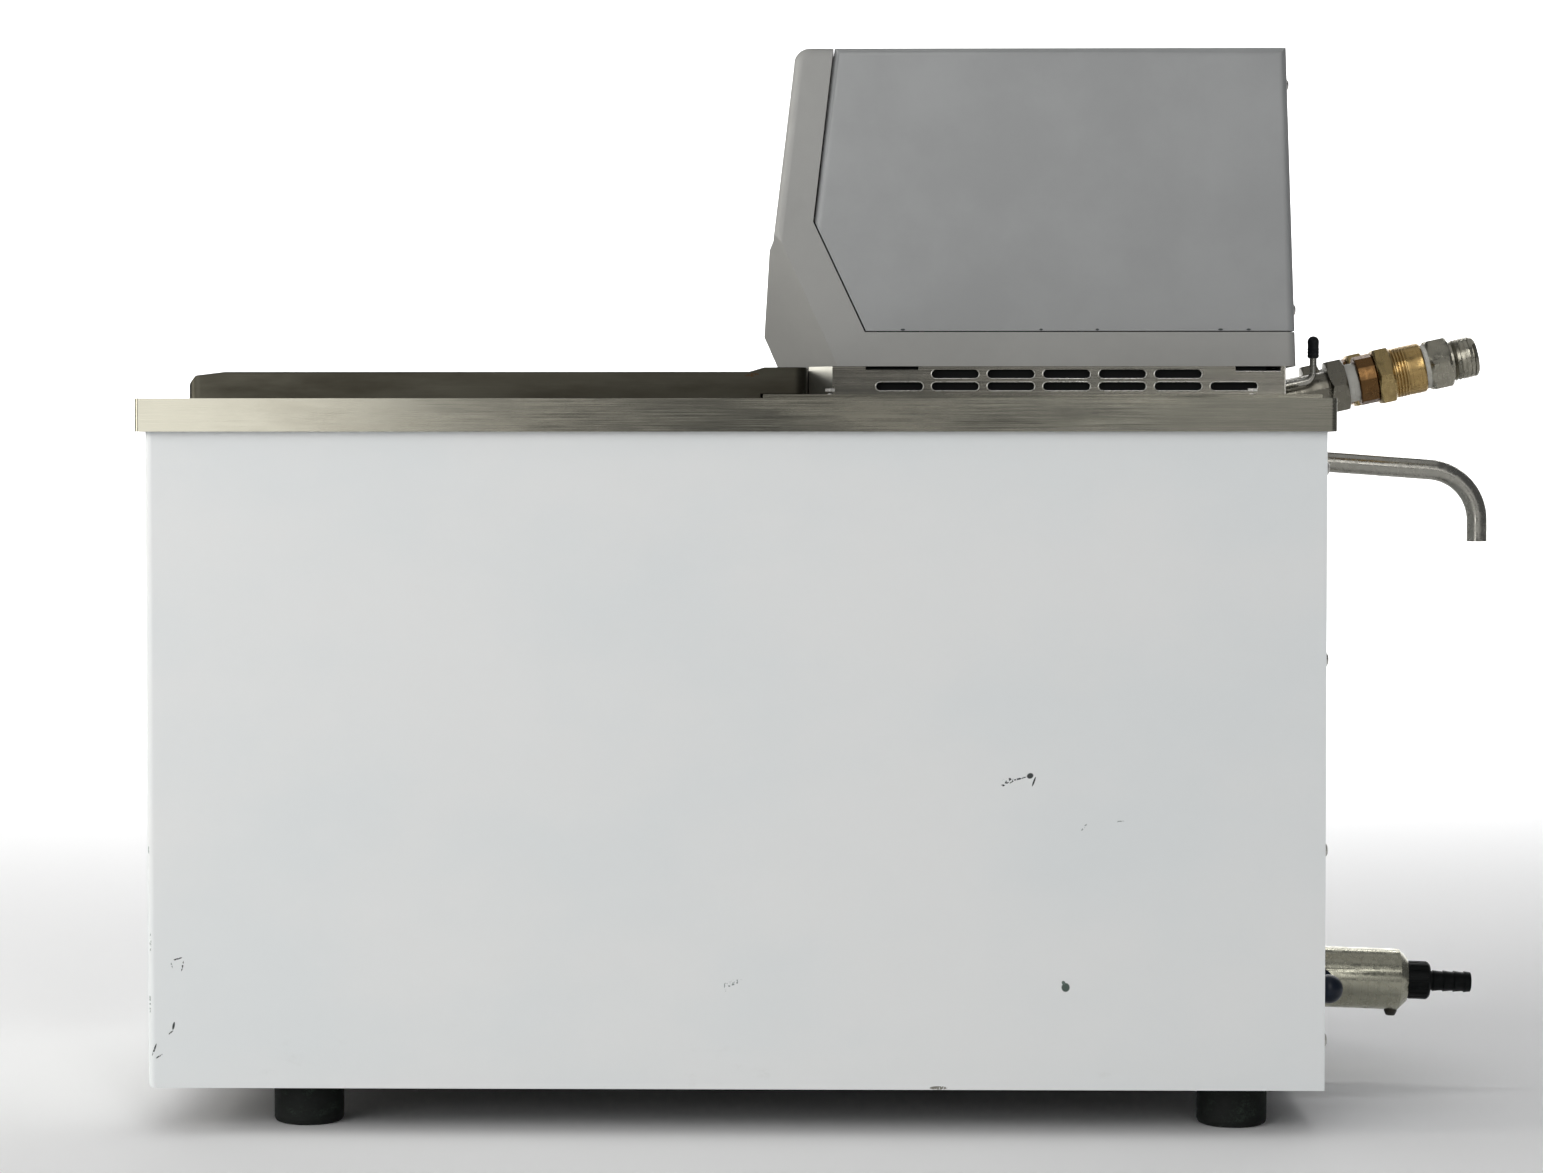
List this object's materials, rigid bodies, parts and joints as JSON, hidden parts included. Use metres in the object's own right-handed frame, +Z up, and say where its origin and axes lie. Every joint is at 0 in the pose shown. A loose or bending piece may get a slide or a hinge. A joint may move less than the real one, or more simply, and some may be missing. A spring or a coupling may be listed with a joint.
{
  "type": "water bath",
  "caption": "Heated circulating water bath: painted casing, steel tank and deck, sliding lid, control head on a slotted skirt, rear pump, overflow and drain pipes.",
  "frame": {"origin": "centre of the bounding box's bottom face, on the bench", "axes": "+Z up; the front (lid side) faces -Y and the rear, with its pipes, +Y; +X is the bath's right-hand side seen from the rear"},
  "size_m": [0.35, 0.6374, 0.495],
  "materials": {
    "casing_paint": "satin",
    "deck_steel": "brushed",
    "tank_steel": "satin",
    "lid_steel": "tarnished",
    "skirt_steel": "polished",
    "pipe_steel": "satin",
    "fitting_steel": "worn",
    "screw_steel": "bright",
    "brass": "tarnished",
    "head_front_plastic": "satin",
    "head_rear_plastic": "satin",
    "bezel_plastic": "satin",
    "key_plastic": "satin",
    "black_plastic": "satin",
    "rocker_plastic": "gloss",
    "lamp_plastic": "clear",
    "display_glass": "tinted",
    "knob_plastic": "satin",
    "foot_rubber": "dusty",
    "black_rubber": "matte",
    "valve_plastic": "satin",
    "nozzle_plastic": "satin",
    "tape": "matte",
    "float_plastic": "satin",
    "bush_plastic": "satin",
    "insulation": "fibrous",
    "board": "satin",
    "transformer_core": "varnished",
    "motor_metal": "painted",
    "fan_plastic": "satin"
  },
  "bodies": {
    "bath": {"rubber_feet": "foot_rubber", "foot_screws": "screw_steel", "base_pan": "tank_steel", "casing_shell": "casing_paint", "rear_panel": "casing_paint", "rear_panel_screws": "screw_steel", "insulation_jacket": "insulation", "bath_tank": "tank_steel", "deck_rim": "deck_steel", "bridge_plate": "deck_steel", "bridge_plate_screws": "screw_steel", "vent_skirt": "skirt_steel", "vent_skirt_screws": "screw_steel", "head_front_shell": "head_front_plastic", "head_rear_hood": "head_rear_plastic", "hood_screws": "screw_steel", "control_bezel": "bezel_plastic", "display_window": "display_glass", "display_board": "board", "indicator_lamps": "lamp_plastic", "switch_frame": "black_plastic", "motor_standoffs": "tank_steel", "pump_motor": "motor_metal", "pump_column": "tank_steel", "column_bush": "bush_plastic", "pump_housing": "tank_steel", "heater_coil": "pipe_steel", "temperature_probe": "pipe_steel", "float_rod": "pipe_steel", "control_board": "board", "board_standoffs": "bush_plastic", "transformer": "transformer_core", "mains_inlet": "black_plastic", "pump_outlet_tube": "pipe_steel", "pump_return_tube": "pipe_steel", "lever_bush": "bush_plastic", "tube_nuts": "fitting_steel", "thread_tape": "tape", "brass_couplings": "brass", "threaded_nipples": "fitting_steel", "overflow_pipe": "pipe_steel", "overflow_grommet": "black_rubber", "drain_pipe": "tank_steel", "drain_body": "pipe_steel", "drain_nozzle": "nozzle_plastic"},
    "lid": {"bath_lid": "lid_steel"},
    "bypass": {"bypass_lever": "pipe_steel", "lever_cap": "black_rubber"},
    "drain_valve": {"drain_valve": "valve_plastic"},
    "rocker": {"mains_rocker": "rocker_plastic"},
    "overtemp": {"overtemp_knob": "knob_plastic"},
    "rotor": {"pump_shaft": "pipe_steel", "motor_fan": "fan_plastic", "impeller": "tank_steel"},
    "float": {"level_float": "float_plastic"},
    "menu_key": {"menu_key": "key_plastic"},
    "down_key": {"down_key": "key_plastic"},
    "up_key": {"up_key": "key_plastic"},
    "enter_key": {"enter_key": "key_plastic"},
    "start_key": {"start_key": "key_plastic"}
  },
  "joints": [
    {"name": "lid_slide", "type": "slide", "parent": "bath", "child": "lid", "axis": [0, -1, 0], "range_m": [0, 0.285]},
    {"name": "bypass_swing", "type": "hinge", "parent": "bath", "child": "bypass", "pos_m": [0.058, 0.205, 0.3382], "axis": [0, 0.977, 0.213], "range_deg": [-35, 35]},
    {"name": "drain_turn", "type": "hinge", "parent": "bath", "child": "drain_valve", "pos_m": [0, 0.23579, 0.04822], "axis": [1, 0, 0], "range_deg": [0, 90]},
    {"name": "rocker_press", "type": "hinge", "parent": "bath", "child": "rocker", "pos_m": [-0.084, -0.02149, 0.44516], "axis": [1, 0, 0], "range_deg": [-16, 0]},
    {"name": "overtemp_turn", "type": "hinge", "parent": "bath", "child": "overtemp", "pos_m": [0.078, -0.02244, 0.43721], "axis": [0, -0.993, 0.1184], "range_deg": [-135, 135]},
    {"name": "pump_spin", "type": "hinge", "parent": "bath", "child": "rotor", "pos_m": [0, 0.08, 0.3], "axis": [0, 0, 1], "continuous": true},
    {"name": "float_rise", "type": "slide", "parent": "bath", "child": "float", "axis": [0, 0, 1], "range_m": [0, 0.044]},
    {"name": "menu_key_press", "type": "slide", "parent": "bath", "child": "menu_key", "axis": [0, 0.993, -0.1184], "range_m": [0, 0.0008], "stiffness_N_per_m": 400},
    {"name": "down_key_press", "type": "slide", "parent": "bath", "child": "down_key", "axis": [0, 0.993, -0.1184], "range_m": [0, 0.0008], "stiffness_N_per_m": 400},
    {"name": "up_key_press", "type": "slide", "parent": "bath", "child": "up_key", "axis": [0, 0.993, -0.1184], "range_m": [0, 0.0008], "stiffness_N_per_m": 400},
    {"name": "enter_key_press", "type": "slide", "parent": "bath", "child": "enter_key", "axis": [0, 0.993, -0.1184], "range_m": [0, 0.0008], "stiffness_N_per_m": 400},
    {"name": "start_key_press", "type": "slide", "parent": "bath", "child": "start_key", "axis": [0, 0.993, -0.1184], "range_m": [0, 0.0008], "stiffness_N_per_m": 400}
  ]
}
